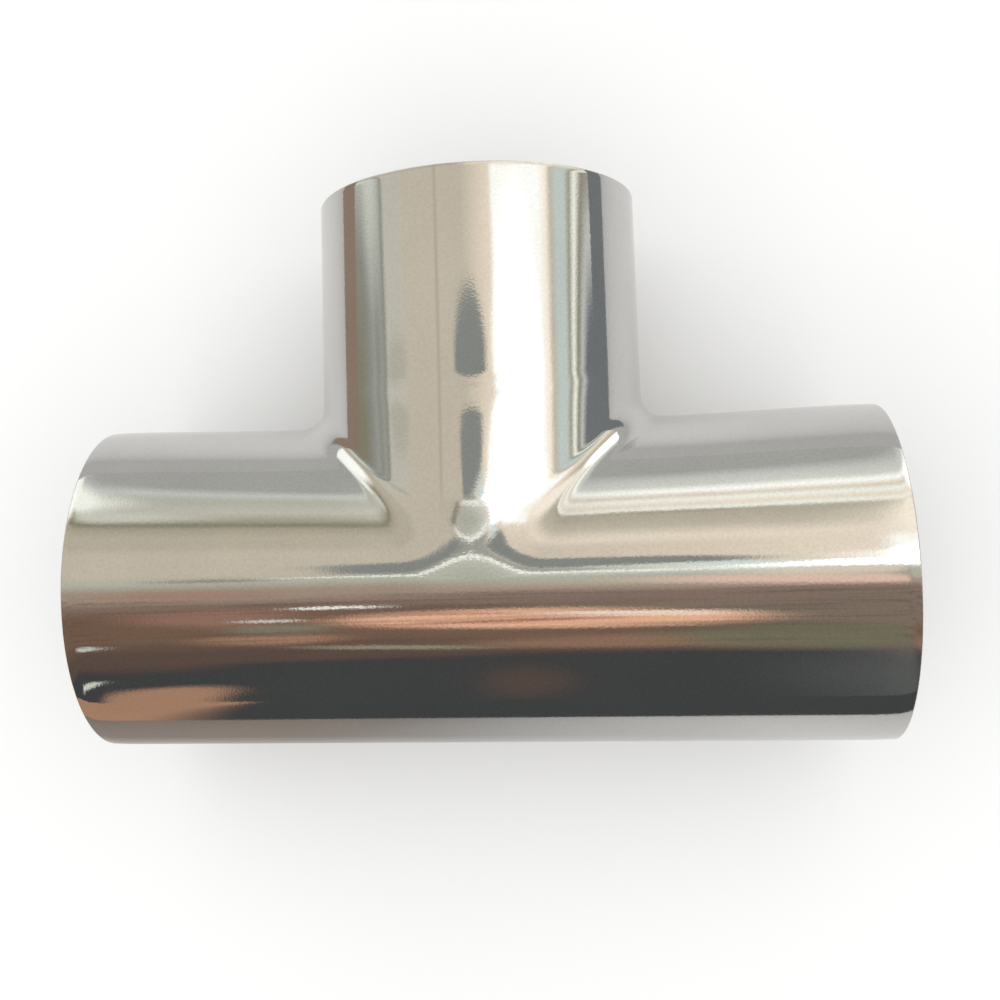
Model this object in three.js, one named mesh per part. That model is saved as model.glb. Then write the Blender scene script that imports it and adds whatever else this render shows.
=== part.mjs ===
// Equal tee for butt welding, in polished stainless tube, lying on its back.
//
// The run tube lies along X and has a collar pulled out of its side. A short length of the
// same tube is welded on that collar and makes the branch, which points along +Y.
// Millimetres, +Z up. The origin is under the middle of the fitting, on the surface it lies on.

import * as THREE from 'three';
import { mergeGeometries, mergeVertices } from 'three/addons/utils/BufferGeometryUtils.js';

// Driving dimensions
const TUBE_OD = 50.8;
const WALL = 1.65;
const CENTRE_TO_END = 60.3; // from the crossing of the axes to each of the three ends
const CROTCH_RADIUS = 4.5; // outside radius where the run turns up into the collar
const DRAW_IN = 0.6; // how far the run's side sinks next to the collar
const WELD_WIDTH = 3.2;
const WELD_HEIGHT_TOP = 26.7; // middle of the weld above the run's axis, on the tee's upper face
const WELD_HEIGHT_SIDE = 31.9; // the same over the two crotches, where the weld climbs

// Fineness of the facets
const HALF_TURN_STEPS = 36;
const STRAIGHT_STEPS = 4;
const FILLET_STEPS = 6;

// Worked out from the above
const OUTER_RADIUS = TUBE_OD / 2;
const INNER_RADIUS = OUTER_RADIUS - WALL;
const AXIS_OFFSET = (CENTRE_TO_END - OUTER_RADIUS) / 2; // from the fitting's middle back to the run's axis

const COINCIDENT = 1e-5;

// Angles run from 0 on top of a tube, through a quarter turn at its side, to half a turn below.
const halfTurn = Array.from({ length: HALF_TURN_STEPS + 1 }, (_, i) => (Math.PI * i) / HALF_TURN_STEPS);
const fullTurn = Array.from({ length: 2 * HALF_TURN_STEPS + 1 }, (_, i) => (Math.PI * i) / HALF_TURN_STEPS);

// Height of the weld's middle above the run's axis: a shallow saddle. Through the wall it runs
// straight towards one point on the branch's axis, so that the faces it meets are flat facets.
function weldHeight(radius, angle) {
  const climb = (WELD_HEIGHT_SIDE - WELD_HEIGHT_TOP) * Math.sin(angle) ** 2;
  return WELD_HEIGHT_TOP + (climb * radius) / OUTER_RADIUS;
}

const weldRoot = (radius, angle) => weldHeight(radius, angle) - WELD_WIDTH / 2;
const weldCap = (radius, angle) => weldHeight(radius, angle) + WELD_WIDTH / 2;
const openEnd = () => CENTRE_TO_END;

// Where the run's side lies, from 0 at the tube's end to 1 at the collar's root.
function sideHeight(radius, angle, along) {
  const sink = DRAW_IN * THREE.MathUtils.smoothstep(along, 0, 1);
  return (radius - sink) * Math.sin(angle);
}

// One level line of the left half of the tee's skin: along the run, round the crotch and up the collar.
function crotchLine(radius, crotchRadius, angle) {
  const side = radius * Math.sin(angle);
  const level = radius * Math.cos(angle);
  const bend = crotchRadius * Math.sin(angle);
  const bendCentre = new THREE.Vector2(-side - bend, sideHeight(radius, angle, 1) + bend);
  const line = [];
  for (let i = 0; i < STRAIGHT_STEPS; i += 1) {
    const along = i / STRAIGHT_STEPS;
    const x = THREE.MathUtils.lerp(-CENTRE_TO_END, bendCentre.x, along);
    line.push(new THREE.Vector3(x, sideHeight(radius, angle, along), level));
  }
  for (let i = 0; i <= FILLET_STEPS; i += 1) {
    const turn = ((Math.PI / 2) * i) / FILLET_STEPS;
    const x = bendCentre.x + bend * Math.sin(turn);
    const y = bendCentre.y - bend * Math.cos(turn);
    line.push(new THREE.Vector3(x, y, level));
  }
  line.push(new THREE.Vector3(-side, weldRoot(radius, angle), level));
  return line;
}

// One level line of the run's far side, opposite the branch.
function backLine(radius, angle) {
  const line = [];
  for (let i = -STRAIGHT_STEPS; i <= STRAIGHT_STEPS; i += 1) {
    const x = (CENTRE_TO_END * i) / STRAIGHT_STEPS;
    line.push(new THREE.Vector3(x, -radius * Math.sin(angle), radius * Math.cos(angle)));
  }
  return line;
}

// A closed section through the wall: out along one skin and back along the other.
function wallSection(outerLine, innerLine) {
  return [...outerLine, ...innerLine.reverse(), outerLine[0]];
}

function mirrored(section) {
  return section.map((point) => new THREE.Vector3(-point.x, point.y, point.z)).reverse();
}

// The branch's wall at one angle round it. The edges give the height of its ends at a radius.
function branchSection(angle, lowEdge, highEdge) {
  const wall = (radius) => [highEdge, lowEdge].map((edge) => (
    new THREE.Vector3(radius * Math.sin(angle), edge(radius, angle), radius * Math.cos(angle))
  ));
  return wallSection(wall(OUTER_RADIUS), wall(INNER_RADIUS));
}

// Joins each section to the next with triangles, leaving out those that have shrunk to nothing.
function sweep(sections) {
  const positions = [];
  const addTriangle = (a, b, c) => {
    const shortest = Math.min(a.distanceTo(b), b.distanceTo(c), c.distanceTo(a));
    if (shortest > COINCIDENT) {
      positions.push(...a.toArray(), ...b.toArray(), ...c.toArray());
    }
  };
  for (let i = 0; i < sections.length - 1; i += 1) {
    const here = sections[i];
    const next = sections[i + 1];
    for (let j = 0; j < here.length - 1; j += 1) {
      addTriangle(here[j], here[j + 1], next[j + 1]);
      addTriangle(here[j], next[j + 1], next[j]);
    }
  }
  const geometry = new THREE.BufferGeometry();
  geometry.setAttribute('position', new THREE.Float32BufferAttribute(positions, 3));
  return geometry;
}

function closedBody(...geometries) {
  const body = mergeVertices(mergeGeometries(geometries), COINCIDENT);
  body.computeVertexNormals();
  return body;
}

function runTubeGeometry() {
  const leftHalf = halfTurn.map((angle) => wallSection(
    crotchLine(OUTER_RADIUS, CROTCH_RADIUS, angle),
    crotchLine(INNER_RADIUS, CROTCH_RADIUS + WALL, angle),
  ));
  const rightHalf = leftHalf.map(mirrored);
  const back = halfTurn.map((angle) => wallSection(
    backLine(OUTER_RADIUS, angle),
    backLine(INNER_RADIUS, angle),
  ).reverse());
  return closedBody(sweep(leftHalf), sweep(rightHalf), sweep(back));
}

function branchGeometry(lowEdge, highEdge) {
  return closedBody(sweep(fullTurn.map((angle) => branchSection(angle, lowEdge, highEdge))));
}

function part(name, geometry, finish) {
  const mesh = new THREE.Mesh(geometry, new THREE.MeshStandardMaterial(finish));
  mesh.name = name;
  return mesh;
}

const mirrorSteel = { color: 0xc8c9c6, roughness: 0.08, metalness: 1 };
const blendedWeld = { color: 0xc2c2be, roughness: 0.14, metalness: 1 };

const onItsAxes = new THREE.Group();
onItsAxes.position.set(0, -AXIS_OFFSET, OUTER_RADIUS);
onItsAxes.add(
  part('run_tube', runTubeGeometry(), mirrorSteel),
  part('branch_weld', branchGeometry(weldRoot, weldCap), blendedWeld),
  part('branch_tube', branchGeometry(weldCap, openEnd), mirrorSteel),
);

const tee = new THREE.Group();
tee.add(onItsAxes);

export default tee;
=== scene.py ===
"""Looks of a mirror-polished stainless tee: smooth tubes, a fine finish and a soft studio."""
import math

import bmesh
import bpy
import numpy as np
from mathutils import Matrix, Vector


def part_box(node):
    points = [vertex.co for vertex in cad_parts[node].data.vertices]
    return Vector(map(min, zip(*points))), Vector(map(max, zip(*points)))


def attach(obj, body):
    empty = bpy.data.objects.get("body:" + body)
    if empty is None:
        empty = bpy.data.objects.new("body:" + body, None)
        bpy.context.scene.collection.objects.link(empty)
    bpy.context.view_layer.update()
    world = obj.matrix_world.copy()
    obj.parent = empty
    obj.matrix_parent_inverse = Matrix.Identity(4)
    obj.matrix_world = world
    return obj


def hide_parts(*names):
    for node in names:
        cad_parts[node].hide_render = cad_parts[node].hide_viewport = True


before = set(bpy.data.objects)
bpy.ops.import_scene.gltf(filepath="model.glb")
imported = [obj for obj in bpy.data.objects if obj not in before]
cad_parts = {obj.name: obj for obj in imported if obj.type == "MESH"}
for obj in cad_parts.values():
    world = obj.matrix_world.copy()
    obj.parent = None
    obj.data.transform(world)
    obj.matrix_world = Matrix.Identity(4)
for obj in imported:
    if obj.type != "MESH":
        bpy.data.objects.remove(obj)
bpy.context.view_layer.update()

# ---------------------------------------------------------------- sizes, in metres

MM = 0.001
run_low, run_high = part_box("run_tube")
weld_low, weld_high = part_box("branch_weld")

OUTER = (run_high.z - run_low.z) / 2
CROSSING = Vector((0, run_low.y + OUTER, run_low.z + OUTER))  # where the two axes meet
REACH = run_high.x  # from the crossing to each end


def bore_radius():
    """Distance from the branch's axis to the nearest point of its tube."""
    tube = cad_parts["branch_tube"].data.vertices
    return min(math.hypot(v.co.x, v.co.z - CROSSING.z) for v in tube)


INNER = bore_radius()
WALL = OUTER - INNER
CROTCH_RADIUS = 4.5 * MM  # where the run turns up into the collar, at the tee's sides
DRAW_IN = 0.6 * MM  # how far the run's side sinks next to the collar
EDGE = 0.18 * MM  # rounding of the deburred ends
WELD_WIDTH = 3.2 * MM
WELD_TOP = weld_low.y - CROSSING.y + WELD_WIDTH / 2  # middle of the weld on the upper face
WELD_SIDE = weld_high.y - CROSSING.y - WELD_WIDTH / 2  # and over the crotches

# The bend between run and branch. Above the tee's sides it gets tighter, and near the crown it
# runs out into a broad one. How far out a level lies is given in tube radii.
CREASE_RADIUS = 1.2 * MM
CREASE_TIGHTENS = 1.3  # power of how far out a level lies
CROWN_BEND = 9 * MM
CROWN_BEND_REACH = 0.35
CROWN_BEND_START = 0.015

# A small spot on the collar lies less deep than its surroundings. In tube radii, up the branch.
SPOT_RISE = 0.25 * MM
SPOT_RADIUS = 0.17
SPOT_RISES_OVER = (0.19, 0.47)
SPOT_FADES_OVER = (0.48, 1.20)

# How steeply the crown runs down, in degrees, against the distance up the branch in tube radii.
# Drawing the collar and the shrinking weld pulled it in, and beyond the weld it levels out.
CROWN_SLOPES = (
    (0.0, 0.0), (0.09, 0.3), (0.16, 2.0), (0.60, 1.4), (0.90, 1.3), (0.97, 2.0), (1.04, 2.8),
    (1.12, 2.4), (1.19, -0.5), (1.25, -0.2), (1.40, 0.1), (1.75, 0.1), (2.4, -1.2),
)
SINK_WIDTH = 0.3  # sideways reach of the sink at the crossing, in tube radii
SINK_WIDENS = 0.6  # and how much wider it gets for each radius up the branch
PROFILE_STEPS = 960

WELD_HOLLOW = 0.009 * MM  # polishing takes this much off the middle of the weld
ROOT_BEAD = 0.12 * MM  # how far the weld stands proud inside the bore
END_ROLL = 0.1 * MM  # the run's cut ends curl in by this much
END_ROLL_LENGTH = 4.5 * MM

# Fineness of the meshes
QUARTER_TURN_STEPS = 120
CROWDING = 1.7  # how strongly the steps crowd together at the crown
OUTSIDE_STEPS = (36, 24, 48)  # along the run's straight, round the bend and up the collar
INSIDE_STEPS = (8, 10, 14)
BRANCH_STEPS = (48, 14)  # outside and inside
WELD_STEPS = 12
EDGE_STEPS = 4

# Angles round a tube, from its crown. They are closest together at the crown and underneath,
# where the creases run out.
quarter_turn = math.pi / 2 * np.linspace(0, 1, QUARTER_TURN_STEPS + 1) ** CROWDING
half_turn = np.concatenate([quarter_turn, math.pi - quarter_turn[-2::-1]])[:, None]
full_turn = np.concatenate([half_turn, math.pi + half_turn[1:]])


def grid(x, y, z):
    """Points of a surface, one row for each angle, measured from the crossing of the axes."""
    return np.stack(np.broadcast_arrays(x, y, z), axis=-1)


# ---------------------------------------------------------------- shapes

def weld_height(radius, angle):
    """The weld's middle, up the branch: a shallow saddle."""
    climb = (WELD_SIDE - WELD_TOP) * np.sin(angle) ** 2
    return WELD_TOP + climb * radius / OUTER


def weld_root(radius, angle):
    return weld_height(radius, angle) - WELD_WIDTH / 2


def weld_cap(radius, angle):
    return weld_height(radius, angle) + WELD_WIDTH / 2


def smooth_step(value, low=0.0, high=1.0):
    """0 up to low and 1 from high on, with an even climb between them."""
    t = np.clip((value - low) / (high - low), 0, 1)
    return t * t * (3 - 2 * t)


def crown_profile():
    """Depth of the crown's sink, in metres, at evenly spaced distances up the branch."""
    at, slopes = zip(*CROWN_SLOPES)
    y = np.linspace(0, at[-1], PROFILE_STEPS + 1)
    fall = np.tan(np.radians(np.interp(y, at, slopes)))
    step = y[1] * OUTER
    return y, np.concatenate([[0], np.cumsum((fall[1:] + fall[:-1]) / 2) * step])


def crown_sink(x, y):
    """How far the crown lies below the plain tubes. x and y are in tube radii from the crossing."""
    spread = SINK_WIDTH + SINK_WIDENS * np.clip(y, 0, None)
    sink = np.interp(y, *crown_profile()) * np.exp(-(x / spread) ** 2)
    spot = SPOT_RISE * np.exp(-(x / SPOT_RADIUS) ** 2)
    return sink - spot * (smooth_step(y, *SPOT_RISES_OVER) - smooth_step(y, *SPOT_FADES_OVER))


def end_roll(along):
    """How much the run has shrunk at a distance along its axis, as a part of its radius."""
    into = np.clip(1 - (REACH - along) / END_ROLL_LENGTH, 0, 1)
    return END_ROLL / OUTER * into ** 2


def forming_marks(points):
    """Moves points of the plain skins by what forming, welding and cutting did to them."""
    height = points[..., 2] / OUTER
    sink = crown_sink(points[..., 0] / OUTER, points[..., 1] / OUTER)
    points[..., 2] -= sink * height
    shrunk = 1 - end_roll(np.abs(points[..., 0]))
    points[..., 1] *= shrunk
    points[..., 2] *= shrunk
    return points


def crotch_bend(radius, crotch_radius):
    """Size of the bend between run and branch, level by level."""
    side = np.sin(half_turn)
    tight = (CREASE_RADIUS + OUTER - radius) * side
    at_side = (crotch_radius - CREASE_RADIUS - OUTER + radius) * side ** CREASE_TIGHTENS
    at_crown = CROWN_BEND * np.exp(-(side / CROWN_BEND_REACH) ** 2)
    return tight + at_side + at_crown * (1 - np.exp(-side / CROWN_BEND_START))


def rounded_corner(steps):
    """A quarter turn in a unit square, from one corner to the opposite one. Its curvature grows
    from nothing and dies away again, so reflections run into the bend without a kink."""
    heading = math.pi / 2 * smooth_step(np.linspace(0, 1, steps + 1))
    sideways = np.cumsum(np.cos(heading[1:]) + np.cos(heading[:-1]))
    upward = np.cumsum(np.sin(heading[1:]) + np.sin(heading[:-1]))
    return sideways / sideways[-1], upward / upward[-1]


def crotch_skin(radius, crotch_radius, steps):
    """The left half of the tee's skin on the branch's side: along the run, round the crotch
    and up the collar. Every row lies at one level."""
    straight_steps, bend_steps, collar_steps = steps
    side = radius * np.sin(half_turn)
    level = radius * np.cos(half_turn)
    bend = crotch_bend(radius, crotch_radius)

    along = np.linspace(0, 1, straight_steps + 1)[None, :]
    straight_x = -(REACH - EDGE) + along * (REACH - EDGE - side - bend)
    straight_y = side - DRAW_IN * smooth_step(along) * np.sin(half_turn)

    sideways, upward = rounded_corner(bend_steps)
    root = side - DRAW_IN * np.sin(half_turn)
    bend_x = -side - bend + bend * sideways
    bend_y = root + bend * upward

    up = np.linspace(0, 1, collar_steps + 1)[None, 1:]
    collar_y = (1 - up) * (root + bend) + up * weld_root(radius, half_turn)
    collar_x = np.broadcast_to(-side, collar_y.shape)

    x = np.concatenate([straight_x, bend_x, collar_x], axis=1)
    y = np.concatenate([straight_y, bend_y, collar_y], axis=1)
    return grid(x, y, level)


def back_skin(radius, steps):
    """The run's far side, opposite the branch."""
    half = np.linspace(0, 1, steps[0] + 1) * (REACH - EDGE)
    x = np.concatenate([half - (REACH - EDGE), half[1:]])[None, :]
    return grid(x, -radius * np.sin(half_turn), radius * np.cos(half_turn))


def mirrored(points):
    return points * np.array([-1, 1, 1])


def branch_skin(radius, low, high, steps, offset=None):
    """A stretch of the branch between two heights. offset(across) stands out from the radius."""
    across = np.linspace(0, 1, steps + 1)[None, :]
    y = (1 - across) * low + across * high
    around = radius if offset is None else radius + offset(across)
    return grid(around * np.sin(full_turn), y, around * np.cos(full_turn))


def edge_profile():
    """Insets from the end plane and radii, over a tube's rounded edges and flat end face."""
    turn = np.linspace(0, math.pi / 2, EDGE_STEPS + 1)
    inset = EDGE * (1 - np.sin(turn))
    shave = EDGE * (1 - np.cos(turn))
    insets = np.concatenate([inset, inset[::-1]])
    radii = np.concatenate([OUTER - shave, INNER + shave[::-1]])
    return insets[None, :], radii[None, :]


def run_end(side):
    """The end face at x < 0 for side -1 and at x > 0 for side 1."""
    insets, radii = edge_profile()
    return grid(side * (REACH - insets), radii * np.sin(full_turn), radii * np.cos(full_turn))


def branch_end():
    insets, radii = edge_profile()
    return grid(radii * np.sin(full_turn), REACH - insets, radii * np.cos(full_turn))


def joint_face(edge):
    """The flat-sided ring where two pieces of the branch meet."""
    radii = np.array([OUTER, INNER])[None, :]
    return grid(radii * np.sin(full_turn), edge(radii, full_turn), radii * np.cos(full_turn))


def weld_hollow(across):
    """Polishing leaves the weld very slightly hollow, and uneven round the branch."""
    uneven = 1 + 0.35 * np.sin(5 * full_turn + 0.6) + 0.2 * np.sin(13 * full_turn)
    return -WELD_HOLLOW * uneven * np.sin(math.pi * across) ** 2


def root_bead(across):
    ripple = 1 + 0.12 * np.sin(90 * full_turn + 2 * np.sin(math.pi * across))
    return -ROOT_BEAD * ripple * np.sin(math.pi * across) ** 2


# ---------------------------------------------------------------- meshes

MERGE_DISTANCE = 0.002 * MM
SHARP_ANGLE = math.radians(35)


def add_strip(bm, points, slot):
    """Adds one surface to the mesh, as quads between neighbouring rows and columns."""
    rows, columns = points.shape[:2]
    vertices = [bm.verts.new(Vector(p) + CROSSING) for p in points.reshape(-1, 3)]
    for r in range(rows - 1):
        for c in range(columns - 1):
            first = r * columns + c
            corners = (first, first + 1, first + columns + 1, first + columns)
            face = bm.faces.new([vertices[i] for i in corners])
            face.material_index = slot
            face.smooth = True


def make_piece(name, strips, materials, replaced):
    """strips are (points, material number) pairs that close into one body."""
    bm = bmesh.new()
    for points, slot in strips:
        add_strip(bm, forming_marks(points), slot)
    bmesh.ops.remove_doubles(bm, verts=bm.verts, dist=MERGE_DISTANCE)
    bmesh.ops.dissolve_degenerate(bm, edges=bm.edges, dist=MERGE_DISTANCE)
    bmesh.ops.recalc_face_normals(bm, faces=bm.faces)
    for edge in bm.edges:
        edge.smooth = len(edge.link_faces) == 2 and edge.calc_face_angle() < SHARP_ANGLE
    mesh = bpy.data.meshes.new(name)
    bm.to_mesh(mesh)
    bm.free()
    for material in materials:
        mesh.materials.append(material)
    piece = bpy.data.objects.new(name, mesh)
    bpy.context.scene.collection.objects.link(piece)
    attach(piece, "root")
    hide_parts(replaced)
    return piece


# ---------------------------------------------------------------- node helpers

def connect(tree, socket, value):
    """Links a socket to a node's output, or sets it to a plain value."""
    if isinstance(value, bpy.types.NodeSocket):
        tree.links.new(value, socket)
    else:
        socket.default_value = value


def calculate(tree, operation, *values):
    node = tree.nodes.new("ShaderNodeMath")
    node.operation = operation
    for socket, value in zip(node.inputs, values):
        connect(tree, socket, value)
    return node.outputs[0]


def remap(tree, value, low, high, to_low=0.0, to_high=1.0, smooth=False):
    node = tree.nodes.new("ShaderNodeMapRange")
    node.interpolation_type = "SMOOTHSTEP" if smooth else "LINEAR"
    for name, number in (("Value", value), ("From Min", low), ("From Max", high),
                         ("To Min", to_low), ("To Max", to_high)):
        connect(tree, node.inputs[name], number)
    return node.outputs["Result"]


def mix_colour(tree, factor, first, second):
    node = tree.nodes.new("ShaderNodeMix")
    node.data_type = "RGBA"
    connect(tree, node.inputs[0], factor)
    connect(tree, node.inputs[6], first)
    connect(tree, node.inputs[7], second)
    return node.outputs[2]


def window(tree, value, low, high, soft):
    """1 between two limits and 0 outside them, with soft shoulders."""
    rising = remap(tree, value, low - soft, low + soft, smooth=True)
    falling = remap(tree, value, high - soft, high + soft, 1.0, 0.0, smooth=True)
    return calculate(tree, "MULTIPLY", rising, falling)


def noise(tree, vector, scale, detail=2.0, stretch=(1, 1, 1)):
    """Noise of about 0.3 to 0.7. A stretch above 1 packs it closer along that axis."""
    mapping = tree.nodes.new("ShaderNodeMapping")
    mapping.inputs["Scale"].default_value = stretch
    tree.links.new(vector, mapping.inputs["Vector"])
    node = tree.nodes.new("ShaderNodeTexNoise")
    node.inputs["Scale"].default_value = scale
    node.inputs["Detail"].default_value = detail
    tree.links.new(mapping.outputs[0], node.inputs["Vector"])
    return node.outputs["Fac"]


def bump(tree, height, distance, strength, normal=None):
    node = tree.nodes.new("ShaderNodeBump")
    node.inputs["Distance"].default_value = distance
    node.inputs["Strength"].default_value = strength
    tree.links.new(height, node.inputs["Height"])
    if normal is not None:
        tree.links.new(normal, node.inputs["Normal"])
    return node.outputs[0]


def new_material(name):
    material = bpy.data.materials.new(name)
    material.use_nodes = True
    tree = material.node_tree
    shader = tree.nodes["Principled BSDF"]
    place = tree.nodes.new("ShaderNodeTexCoord").outputs["Object"]
    return material, tree, shader, place


# ---------------------------------------------------------------- materials

# Noise scales are in cycles per metre, so 1000 has features of about a millimetre.
STEEL = (0.62, 0.61, 0.59)
BROAD_MOTTLE = 60.0
FINE_MOTTLE = 2400.0


def steel_colour(tree, place, variation):
    """Steel, lighter and darker by a part of itself in broad clouds and fine mottle."""
    broad = noise(tree, place, BROAD_MOTTLE)
    fine = noise(tree, place, FINE_MOTTLE)
    shade = remap(tree, calculate(tree, "MULTIPLY_ADD", fine, 1.5, broad), 0.9, 1.6)
    light = tuple(c * (1 + variation) for c in STEEL) + (1,)
    dark = tuple(c * (1 - variation) for c in STEEL) + (1,)
    return mix_colour(tree, shade, dark, light)


# Painted reflection: a thin dark line in the steel's colour on the upper faces, where a reflected
# line runs.
PAINTED_REFLECTION_LINE_X = -0.155 * OUTER
PAINTED_REFLECTION_LINE_FADES_IN = 0.3 * OUTER  # it starts this far up from the crossing, over this length
PAINTED_REFLECTION_LINE_WIDTH = 0.45 * MM
PAINTED_REFLECTION_LINE_COLOUR = (0.53, 0.515, 0.49, 1)


def painted_reflection_line(tree, place):
    """Painted reflection: a faint dark straight line, painted into the steel's colour along the
    branch's upper face and down its collar.
    """
    split = tree.nodes.new("ShaderNodeSeparateXYZ")
    tree.links.new(place, split.inputs[0])
    half = PAINTED_REFLECTION_LINE_WIDTH / 2
    line = window(tree, split.outputs[0], PAINTED_REFLECTION_LINE_X - half, PAINTED_REFLECTION_LINE_X + half, half)
    above = remap(tree, split.outputs[2], CROSSING.z, CROSSING.z + WALL)
    low = CROSSING.y + PAINTED_REFLECTION_LINE_FADES_IN
    up_the_branch = remap(tree, split.outputs[1], low, low + PAINTED_REFLECTION_LINE_FADES_IN, smooth=True)
    return calculate(tree, "MULTIPLY", line, calculate(tree, "MULTIPLY", above, up_the_branch))


GRAIN = 0.003 * MM
SATIN_RELIEF = 0.006 * MM
FACED_RELIEF = 0.004 * MM


def polished_steel(name, lay, along, roughness, waviness, streakiness):
    """Mirror polish. Hairlines run round the tube, and slight flats left by the belts along it.
    The waves and flats are given by their depth."""
    material, tree, shader, place = new_material(name)
    shader.inputs["Metallic"].default_value = 1.0
    steel = steel_colour(tree, place, 0.05)
    # The steel's colour is random mottle, with the painted reflection line over it.
    connect(tree, shader.inputs["Base Color"],
            mix_colour(tree, painted_reflection_line(tree, place), steel, PAINTED_REFLECTION_LINE_COLOUR))
    hairlines = noise(tree, place, 120.0, 3.0, lay)
    haze = noise(tree, place, 45.0, 4.0)
    dull = calculate(tree, "ADD",
                     remap(tree, hairlines, 0.35, 0.75, 0.0, 0.025),
                     remap(tree, haze, 0.4, 0.75, 0.0, 0.03))
    connect(tree, shader.inputs["Roughness"], calculate(tree, "ADD", dull, roughness))
    waves = bump(tree, noise(tree, place, 70.0, 1.0), waviness, 1.0)
    flats = bump(tree, noise(tree, place, 300.0, 2.0, along), streakiness, 1.0, waves)
    grain = bump(tree, noise(tree, place, 2800.0, 1.0), GRAIN, 1.0, flats)
    connect(tree, shader.inputs["Normal"], grain)
    return material


def satin_bore(name, lay):
    """The inside is only brushed: dull, with lines round the tube."""
    material, tree, shader, place = new_material(name)
    shader.inputs["Metallic"].default_value = 1.0
    connect(tree, shader.inputs["Base Color"], steel_colour(tree, place, 0.04))
    lines = noise(tree, place, 160.0, 4.0, lay)
    connect(tree, shader.inputs["Roughness"], remap(tree, lines, 0.3, 0.7, 0.24, 0.36))
    connect(tree, shader.inputs["Normal"], bump(tree, lines, SATIN_RELIEF, 1.0))
    return material


def faced_end(name):
    """Square-cut and deburred: a fine, even grain on a duller steel."""
    material, tree, shader, place = new_material(name)
    shader.inputs["Metallic"].default_value = 1.0
    connect(tree, shader.inputs["Base Color"], steel_colour(tree, place, 0.03))
    grain = noise(tree, place, 2600.0, 3.0)
    connect(tree, shader.inputs["Roughness"], remap(tree, grain, 0.3, 0.7, 0.2, 0.32))
    connect(tree, shader.inputs["Normal"], bump(tree, grain, FACED_RELIEF, 1.0))
    return material


ACROSS_RUN = (30, 1, 1)  # packs noise into lines that run round a tube
ACROSS_BRANCH = (1, 30, 1)
ALONG_RUN = (0.06, 1, 1)  # draws noise out along a tube
ALONG_BRANCH = (1, 0.06, 1)

run_polish = polished_steel("run_polish", ACROSS_RUN, ALONG_RUN, 0.03, 0.02 * MM, 0.007 * MM)
branch_polish = polished_steel(
    "branch_polish", ACROSS_BRANCH, ALONG_BRANCH, 0.03, 0.015 * MM, 0.01 * MM)
weld_polish = polished_steel(
    "weld_polish", ACROSS_BRANCH, ALONG_BRANCH, 0.045, 0.03 * MM, 0.01 * MM)
run_bore = satin_bore("run_bore", ACROSS_RUN)
branch_bore = satin_bore("branch_bore", ACROSS_BRANCH)
end_face = faced_end("end_face")

# ---------------------------------------------------------------- the tee

POLISHED, SATIN, FACED = range(3)


def make_run_tube():
    outside = crotch_skin(OUTER, CROTCH_RADIUS, OUTSIDE_STEPS)
    inside = crotch_skin(INNER, CROTCH_RADIUS + WALL, INSIDE_STEPS)
    strips = [
        (outside, POLISHED), (mirrored(outside), POLISHED),
        (inside, SATIN), (mirrored(inside), SATIN),
        (back_skin(OUTER, OUTSIDE_STEPS), POLISHED), (back_skin(INNER, INSIDE_STEPS), SATIN),
        (run_end(-1), FACED), (run_end(1), FACED),
        (joint_face(weld_root), FACED),
    ]
    materials = (run_polish, run_bore, end_face)
    piece = make_piece("run_tube_polished", strips, materials, "run_tube")
    return piece


def make_weld():
    def band(radius, offset):
        low, high = weld_root(radius, full_turn), weld_cap(radius, full_turn)
        return branch_skin(radius, low, high, WELD_STEPS, offset)

    strips = [
        (band(OUTER, weld_hollow), POLISHED), (band(INNER, root_bead), SATIN),
        (joint_face(weld_root), FACED), (joint_face(weld_cap), FACED),
    ]
    materials = (weld_polish, branch_bore, end_face)
    piece = make_piece("branch_weld_blended", strips, materials, "branch_weld")
    return piece


def make_branch_tube():
    def wall(radius, steps):
        return branch_skin(radius, weld_cap(radius, full_turn), REACH - EDGE, steps)

    outside_steps, inside_steps = BRANCH_STEPS
    strips = [
        (wall(OUTER, outside_steps), POLISHED), (wall(INNER, inside_steps), SATIN),
        (branch_end(), FACED), (joint_face(weld_cap), FACED),
    ]
    materials = (branch_polish, branch_bore, end_face)
    piece = make_piece("branch_tube_polished", strips, materials, "branch_tube")
    return piece


make_run_tube()
make_weld()
make_branch_tube()

# ---------------------------------------------------------------- studio
#
# The floor and the background are plain and pale. What the polish mirrors is a soft studio of
# broad bands and cards, which only mirror-like rays see. A direction is given by two angles in
# degrees: east, towards +X, and north, towards +Y, both measured from straight up.

TONES = {  # as they look in the steel, from 0 to 255
    "glare": (312, 312, 308), "white": (252, 252, 246), "milk": (238, 239, 228),
    "ivory": (243, 231, 213), "cream": (225, 212, 193), "sand": (212, 200, 180),
    "beige": (188, 179, 162), "pearl": (204, 205, 194), "stone": (177, 169, 151),
    "putty": (163, 154, 136), "khaki": (150, 147, 126), "moss": (127, 124, 105),
    "sage": (172, 174, 160), "mist": (187, 196, 190), "ice": (196, 222, 222),
    "fog": (150, 151, 143), "slate": (129, 132, 127), "iron": (108, 111, 112),
    "ash": (158, 158, 152), "silver": (190, 191, 186), "charcoal": (62, 63, 63),
    "peat": (88, 73, 65), "brown": (112, 89, 73), "clay": (137, 108, 88),
    "tan": (224, 174, 143), "rust": (132, 86, 66), "olive": (108, 107, 87),
    "mauve": (128, 108, 98), "rose": (160, 121, 106), "blush": (216, 184, 167),
    "dusk": (155, 139, 123), "copper": (160, 124, 101), "taupe": (122, 108, 95),
    "graphite": (88, 90, 88), "moor": (136, 137, 128), "straw": (185, 182, 169),
    "umber": (134, 117, 102), "linen": (178, 169, 151),
}


def scene_colour(tone):
    """Turns a tone seen in the steel into the light that has to reach it."""
    def linear(c):
        return c / 12.92 if c <= 0.04045 else ((c + 0.055) / 1.055) ** 2.4
    return tuple(linear(c / 255) / s for c, s in zip(TONES[tone], STEEL)) + (1,)


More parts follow.
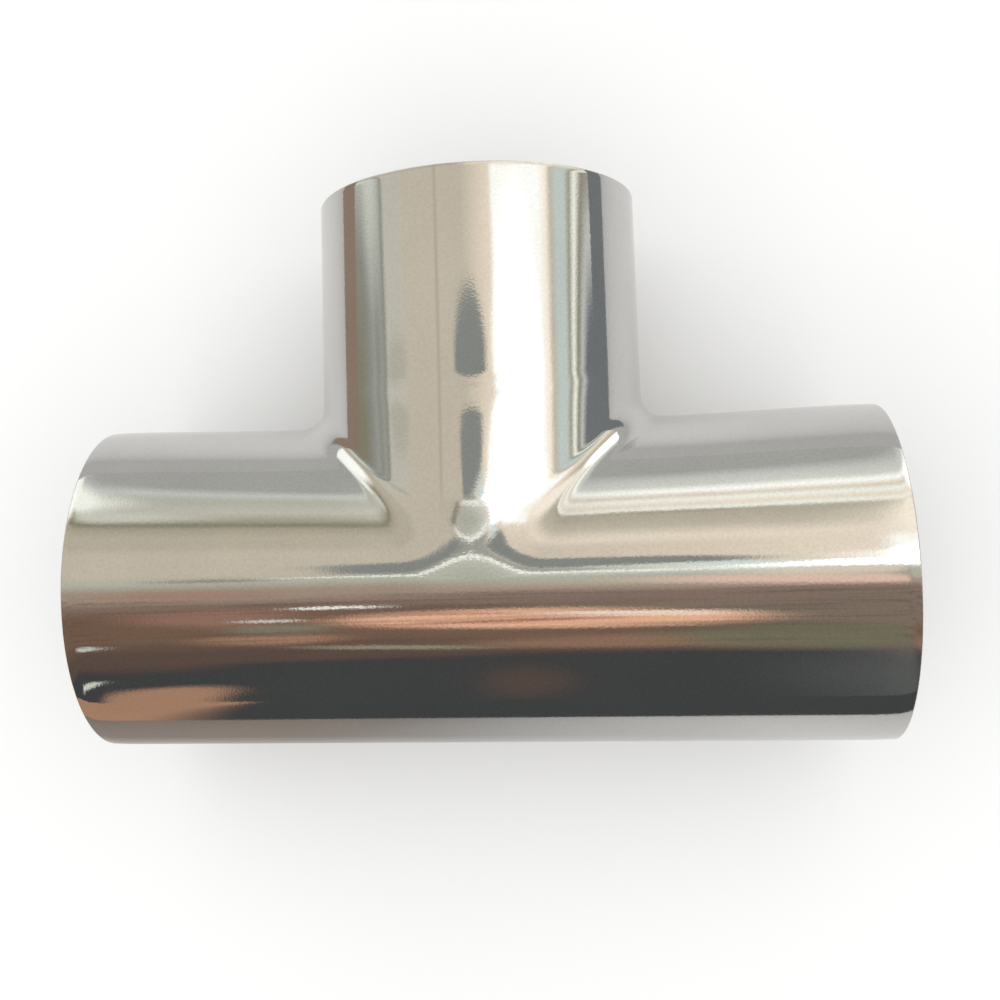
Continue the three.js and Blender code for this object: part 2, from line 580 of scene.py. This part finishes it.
def bands(tree, angle, stops):
    """A run of tones over an angle from -90 to 90 degrees."""
    ramp = tree.nodes.new("ShaderNodeValToRGB")
    elements = ramp.color_ramp.elements
    brightest = max(max(scene_colour(tone)) for _, tone in stops)
    while len(elements) < len(stops):
        elements.new(0.5)
    for element, (degrees, _) in zip(elements, stops):
        element.position = (degrees + 90) / 180
    for element, (_, tone) in zip(elements, stops):
        element.color = tuple(c / brightest for c in scene_colour(tone)[:3]) + (1,)
    tree.links.new(remap(tree, angle, -90, 90), ramp.inputs[0])
    scale = tree.nodes.new("ShaderNodeVectorMath")
    scale.operation = "SCALE"
    tree.links.new(ramp.outputs[0], scale.inputs[0])
    scale.inputs["Scale"].default_value = brightest
    return scale.outputs[0]


ACROSS_SKY = (
    (-90, "moss"), (-80, "moss"), (-74, "moor"), (-70, "fog"), (-67, "moor"), (-64, "fog"),
    (-61, "moor"), (-59, "straw"), (-48, "straw"), (-44, "beige"), (-6, "beige"), (4, "sand"),
    (12, "cream"), (15, "white"), (44, "white"), (50, "ivory"), (53, "beige"), (57, "mist"),
    (63, "mist"), (66, "khaki"), (69, "milk"), (72, "moss"), (75, "silver"), (78, "iron"),
    (90, "iron"),
)
ALONG_LEFT_SKY = (
    (-90, "charcoal"), (-55, "charcoal"), (-52, "peat"), (-46, "peat"), (-36, "brown"),
    (-28, "brown"), (-20, "brown"), (-14, "mauve"), (-9, "dusk"), (-4, "dusk"), (1, "sage"),
    (6, "stone"), (12, "linen"), (24, "linen"), (32, "stone"), (38, "putty"), (41, "moss"),
    (43, "khaki"), (50, "straw"), (59, "sage"), (63, "silver"), (67, "ash"), (90, "ash"),
)
ALONG_RIGHT_SKY = (
    (-90, "charcoal"), (-53, "charcoal"), (-50, "peat"), (-46, "clay"), (-37, "brown"),
    (-31, "taupe"), (-20, "taupe"), (-15, "mauve"), (-11, "mauve"), (-8, "dusk"), (-4, "stone"),
    (0, "sage"), (3, "pearl"), (8, "milk"), (10, "cream"), (27, "cream"), (34, "beige"),
    (41, "stone"), (44, "stone"), (46, "milk"), (49, "cream"), (53, "milk"), (56, "sand"),
    (60, "white"), (64, "pearl"), (70, "silver"), (76, "ash"), (90, "ash"),
)

# Soft oval cards: middle east and north, half width and half height, slant, softness of the
# edge as a part of the size, strength, tone
CARDS = (
    (-3, -75, 1.8, 12, 0, 0.8, 0.8, "peat"),
    (18, -68, 8, 22, 0, 0.6, 0.8, "graphite"),
    (-21, -50, 4, 7, 20, 0.5, 0.9, "peat"),
    (-19.5, -71, 3.4, 4.2, 0, 0.35, 1.0, "copper"),
    (-24, -62, 2.0, 1.2, 20, 0.5, 1.0, "pearl"),
    (-24, -40, 2.0, 1.2, 0, 0.5, 1.0, "silver"),
    (16, -27, 7, 24, 0, 0.5, 0.7, "taupe"),
    (9.5, -42, 7, 8.5, 0, 0.4, 0.9, "olive"),
    (0, -44.5, 4.5, 4, 0, 0.5, 0.9, "clay"),
    (-14.5, -38, 3, 3.2, 0, 0.6, 0.9, "copper"),
    (-9, -45.5, 4.5, 1.3, -25, 0.5, 0.8, "khaki"),
    (-14, -31, 2.2, 3.5, 0, 0.5, 0.8, "moss"),
    (-17, -22, 3.4, 6, 10, 0.6, 0.6, "rose"),
    (-2, -27.5, 9.5, 6.5, -14, 0.25, 1.0, "tan"),
    (-3.5, -28.5, 4.5, 0.9, 12, 0.7, 0.8, "rust"),
    (-6, -23.5, 3.5, 0.6, -10, 0.8, 0.6, "rust"),
    (2, -25, 4, 1.6, -6, 0.6, 0.7, "ivory"),
    (-11.5, -17.4, 2.3, 0.8, 0, 0.3, 1.0, "milk"),
    (-14.5, -25, 1.4, 1.0, 0, 0.4, 1.0, "pearl"),
    (-18, -7, 4, 3, 0, 0.7, 0.6, "rose"),
    (-17, 2.5, 2.5, 1.2, 0, 0.6, 0.7, "mauve"),
    (10.5, -5, 8, 3, -14, 0.5, 1.0, "blush"),
    (-52, 9.5, 7, 1.8, 0, 0.4, 0.4, "khaki"),
    (-68, 19, 5, 4.5, 0, 0.8, 0.9, "pearl"),
    (26, 5.5, 21, 2.7, 0, 0.2, 1.0, "glare"),
    (11, 0.5, 5, 2.4, 0, 0.5, 0.8, "sand"),
    (28, 10, 14, 5, 0, 0.4, 1.0, "glare"),
    (-2.5, 9.9, 9.8, 3.4, 0, 0.2, 1.0, "slate"),
    (-7.5, 7.8, 4.5, 3.2, 12, 0.3, 1.0, "slate"),
    (4.5, 6.4, 5.5, 1.7, 10, 0.4, 0.9, "pearl"),
    (-4, 5.0, 5.5, 1.2, 0, 0.4, 0.9, "fog"),
    (-3, 3.2, 11, 0.6, 0, 0.4, 1.0, "milk"),
    (6, 6.2, 1.6, 1.4, 0, 0.7, 0.6, "ice"),
    (3, 44, 5, 1.2, 0, 0.6, 0.8, "putty"),
    (-22, 46, 4.5, 3.5, 0, 0.6, 0.7, "pearl"),
    (-27, 56, 6, 7, 0, 0.4, 1.0, "milk"),
    (36, 54, 15, 9, -45, 0.35, 1.0, "glare"),
    (23, 34, 10, 14, 0, 0.5, 1.0, "ivory"),
    (-44, 46, 18, 9, 45, 0.3, 1.0, "white"),
)


def oval(tree, east, north, card):
    """1 inside an oval patch of sky and 0 outside it."""
    middle_east, middle_north, half_width, half_height, slant, soft = card
    turn = math.radians(slant)
    from_east = calculate(tree, "SUBTRACT", east, middle_east)
    from_north = calculate(tree, "SUBTRACT", north, middle_north)
    reach = []
    for part_east, part_north, half in ((math.cos(turn), math.sin(turn), half_width),
                                        (-math.sin(turn), math.cos(turn), half_height)):
        along = calculate(tree, "MULTIPLY", from_east, part_east / half)
        along = calculate(tree, "MULTIPLY_ADD", from_north, part_north / half, along)
        reach.append(calculate(tree, "MULTIPLY", along, along))
    distance = calculate(tree, "SQRT", calculate(tree, "ADD", *reach))
    return remap(tree, distance, 1 - soft, 1 + soft, 1.0, 0.0, smooth=True)


FOLD_STRETCH = (0.09, 0.6, 1)  # noise cycles in one degree of east and of north
FOLD_STRENGTH = 0.52
FOLDS_FROM = -46
FOLDS_TO = -8
FOLDS_SOFTNESS = 4


def dark_folds(tree, east, north):
    """Thin dark folds of a cloth in front of the tee."""
    place = tree.nodes.new("ShaderNodeCombineXYZ")
    connect(tree, place.inputs[0], east)
    connect(tree, place.inputs[1], north)
    ripples = noise(tree, place.outputs[0], 1.0, 2.0, FOLD_STRETCH)
    folds = remap(tree, ripples, 0.48, 0.68, 0.0, FOLD_STRENGTH)
    shown = window(tree, north, FOLDS_FROM, FOLDS_TO, FOLDS_SOFTNESS)
    return calculate(tree, "MULTIPLY", folds, shown)


# The tones across the sky fill a strip from one of these angles north to the other, and show on
# the branch. The tones along it fill the rest and show on the run, where the left ones turn into
# the right ones between these angles east.
STRIP_FROM = 4
STRIP_TO = 23
STRIP_SOFTNESS = 3
LEFT_ENDS = -12
RIGHT_BEGINS = 3


def sky_colour(tree):
    """What a mirror-like ray finds in its direction."""
    direction = tree.nodes.new("ShaderNodeTexCoord").outputs["Generated"]
    split = tree.nodes.new("ShaderNodeSeparateXYZ")
    tree.links.new(direction, split.inputs[0])
    east = calculate(tree, "DEGREES", calculate(tree, "ARCSINE", split.outputs[0]))
    north = calculate(tree, "DEGREES", calculate(tree, "ARCSINE", split.outputs[1]))
    right_side = remap(tree, east, LEFT_ENDS, RIGHT_BEGINS, smooth=True)
    along = mix_colour(tree, right_side, bands(tree, north, ALONG_LEFT_SKY),
                       bands(tree, north, ALONG_RIGHT_SKY))
    across = bands(tree, east, ACROSS_SKY)
    strip = window(tree, north, STRIP_FROM, STRIP_TO, STRIP_SOFTNESS)
    colour = mix_colour(tree, strip, along, across)
    for *card, strength, tone in CARDS:
        mask = calculate(tree, "MULTIPLY", oval(tree, east, north, card), strength)
        colour = mix_colour(tree, mask, colour, scene_colour(tone))
    return mix_colour(tree, dark_folds(tree, east, north), colour, scene_colour("peat"))


ROOM_WHITE = (1.18, 1.18, 1.175, 1)


def make_sky():
    """An even white room, except in what the steel mirrors."""
    world = bpy.data.worlds.new("studio")
    bpy.context.scene.world = world
    world.use_nodes = True
    tree = world.node_tree
    background = tree.nodes["Background"]
    mirrored_ray = tree.nodes.new("ShaderNodeLightPath").outputs["Is Glossy Ray"]
    colour = mix_colour(tree, mirrored_ray, ROOM_WHITE, sky_colour(tree))
    connect(tree, background.inputs["Color"], colour)


FLOOR_SIZE = 6.0
FLOOR_DARK = (0.90, 0.90, 0.895, 1)
FLOOR_LIGHT = (0.92, 0.92, 0.915, 1)


def add_plane(name, size, height, material):
    mesh = bpy.data.meshes.new(name)
    half = size / 2
    around = ((-half, -half), (half, -half), (half, half), (-half, half))
    corners = [(x, y, height) for x, y in around]
    mesh.from_pydata(corners, [], [(0, 1, 2, 3)])
    mesh.materials.append(material)
    plane = bpy.data.objects.new(name, mesh)
    bpy.context.scene.collection.objects.link(plane)
    return plane


def make_floor():
    material, tree, shader, place = new_material("pale_floor")
    shade = remap(tree, noise(tree, place, 8.0), 0.3, 0.7)
    connect(tree, shader.inputs["Base Color"], mix_colour(tree, shade, FLOOR_DARK, FLOOR_LIGHT))
    shader.inputs["Roughness"].default_value = 0.9
    shader.inputs["Specular IOR Level"].default_value = 0.0
    return add_plane("floor", FLOOR_SIZE, 0.0, material)


# What mirror-like rays find instead of the plain floor: a bench that darkens away from the tee
# and ends not far in front of it and beside it, so its edge shows as a crisp dark line.
BENCH_HEIGHT = 0.4 * MM
BENCH_FRONT = -0.14
BENCH_LEFT = -0.17
BENCH_RIGHT = 0.17
BENCH_EDGE_SOFTNESS = 0.004
BENCH_DARKENS_FROM = 0.03
BENCH_DARKENS_TO = 0.20
BENCH_NEAR_SHADE = 0.96
BENCH_FAR_SHADE = 0.56
BENCH_FRONT_STARTS = -0.03
BENCH_FRONT_IS_FULL = -0.07
BENCH_FRONT_SHADES = (0.45, 0.95)  # in front of the left end and of the right end
BENCH_FRONT_CHANGES = (-0.03, 0.05)  # and where along X the first turns into the second
BENCH_WARM_TINT = (1.0, 0.86, 0.76, 1)
BENCH_WARM_STARTS = 0.0
BENCH_WARM_IS_FULL = -0.05
SIDES_FADE_FROM = 0.06  # how far back the bench's sides are seen as edges
SIDES_FADE_TO = 0.12
SIDES_FADE_SLANT = 0.45
COPPER_STARTS = -0.03  # the front is warm to the left of here
COPPER_IS_FULL = -0.06
COPPER_SLANT = 0.26


def bench_shade(tree, x, y):
    """How much of the floor's light is kept: less far away and less in front."""
    x_squared = calculate(tree, "MULTIPLY", x, x)
    y_squared = calculate(tree, "MULTIPLY", y, y)
    distance = calculate(tree, "SQRT", calculate(tree, "ADD", x_squared, y_squared))
    shade = remap(tree, distance, BENCH_DARKENS_FROM, BENCH_DARKENS_TO,
                  BENCH_NEAR_SHADE, BENCH_FAR_SHADE)
    front_shade = remap(tree, x, *BENCH_FRONT_CHANGES, *BENCH_FRONT_SHADES)
    front = remap(tree, y, BENCH_FRONT_STARTS, BENCH_FRONT_IS_FULL, 1.0, front_shade)
    return calculate(tree, "MULTIPLY", shade, front)


def bench_tint(tree, x, y):
    """The bench's shade, warmer in front of the tee's left end."""
    shade = bench_shade(tree, x, y)
    in_front = remap(tree, y, BENCH_FRONT_STARTS, BENCH_FRONT_IS_FULL)
    to_the_left = remap(tree, x, BENCH_WARM_STARTS, BENCH_WARM_IS_FULL)
    warm = calculate(tree, "MULTIPLY", in_front, to_the_left)
    tint = tree.nodes.new("ShaderNodeVectorMath")
    tint.operation = "SCALE"
    tree.links.new(mix_colour(tree, warm, (1, 1, 1, 1), BENCH_WARM_TINT), tint.inputs[0])
    tree.links.new(shade, tint.inputs["Scale"])
    return tint.outputs[0]


def beyond_the_bench(tree, x, y):
    """How much of what lies past the bench's edges is seen, and its colour."""
    soft = BENCH_EDGE_SOFTNESS
    sideways = calculate(tree, "MULTIPLY", calculate(tree, "ABSOLUTE", x), SIDES_FADE_SLANT)
    behind = calculate(tree, "SUBTRACT", y, sideways)
    nearer_than_back = remap(tree, behind, SIDES_FADE_TO, SIDES_FADE_FROM, smooth=True)
    past_left = remap(tree, x, BENCH_LEFT + soft, BENCH_LEFT - soft)
    past_right = remap(tree, x, BENCH_RIGHT - soft, BENCH_RIGHT + soft)
    left = calculate(tree, "MULTIPLY", nearer_than_back, past_left)
    right = calculate(tree, "MULTIPLY", nearer_than_back, past_right)
    front = remap(tree, y, BENCH_FRONT + soft, BENCH_FRONT - soft)
    cover = calculate(tree, "MAXIMUM", calculate(tree, "MAXIMUM", left, right), front)

    aside = calculate(tree, "MULTIPLY_ADD", y, -COPPER_SLANT, x)
    front_left = remap(tree, aside, COPPER_STARTS, COPPER_IS_FULL, smooth=True)
    front_tone = mix_colour(tree, front_left, scene_colour("charcoal"), scene_colour("copper"))
    side_tone = mix_colour(tree, right, scene_colour("umber"), scene_colour("iron"))
    return cover, mix_colour(tree, front, side_tone, front_tone)


def make_bench():
    material = bpy.data.materials.new("bench_in_the_mirror")
    material.use_nodes = True
    tree = material.node_tree
    tree.nodes.clear()
    place = tree.nodes.new("ShaderNodeTexCoord").outputs["Object"]
    split = tree.nodes.new("ShaderNodeSeparateXYZ")
    tree.links.new(place, split.inputs[0])
    x, y = split.outputs[0], split.outputs[1]
    cover, colour = beyond_the_bench(tree, x, y)
    glow = tree.nodes.new("ShaderNodeEmission")
    clear = tree.nodes.new("ShaderNodeBsdfTransparent")
    blend = tree.nodes.new("ShaderNodeMixShader")
    output = tree.nodes.new("ShaderNodeOutputMaterial")
    connect(tree, glow.inputs["Color"], colour)
    connect(tree, clear.inputs["Color"], bench_tint(tree, x, y))
    connect(tree, blend.inputs[0], cover)
    tree.links.new(clear.outputs[0], blend.inputs[1])
    tree.links.new(glow.outputs[0], blend.inputs[2])
    tree.links.new(blend.outputs[0], output.inputs["Surface"])
    plane = add_plane("bench_in_the_mirror", FLOOR_SIZE, BENCH_HEIGHT, material)
    plane.visible_camera = False
    plane.visible_diffuse = False
    plane.visible_shadow = False
    plane.visible_transmission = False
    return plane


make_sky()
make_floor()
make_bench()
bpy.context.scene.view_settings.view_transform = "Standard"

# ---------------------------------------------------------------- camera

# In tube radii from the crossing of the axes: close above the tee, looking almost straight down.
CAMERA_PLACE = Vector((0.66, 0.017, 7.964))
CAMERA_AIM = Vector((-0.425, 0.889, 0.0))
CAMERA_ROLL = -1.34  # in degrees
LENS = 45.5  # in millimetres, as is the sensor
SENSOR = 36.0
SHIFT = (0.084, -0.060)
NEAR_CLIP = 0.01


def make_camera():
    data = bpy.data.cameras.new("camera")
    data.lens = LENS
    data.sensor_width = SENSOR
    data.shift_x, data.shift_y = SHIFT
    data.clip_start = NEAR_CLIP
    camera = bpy.data.objects.new("camera", data)
    bpy.context.scene.collection.objects.link(camera)
    camera.location = CROSSING + CAMERA_PLACE * OUTER
    forward = (CAMERA_AIM - CAMERA_PLACE).normalized()
    right = forward.cross(Vector((0, 1, 0))).normalized()
    axes = Matrix((right, right.cross(forward), -forward)).transposed().to_4x4()
    camera.matrix_world = (Matrix.Translation(camera.location) @ axes
                           @ Matrix.Rotation(math.radians(CAMERA_ROLL), 4, "Z"))
    bpy.context.scene.camera = camera


make_camera()

bpy.context.view_layer.update()
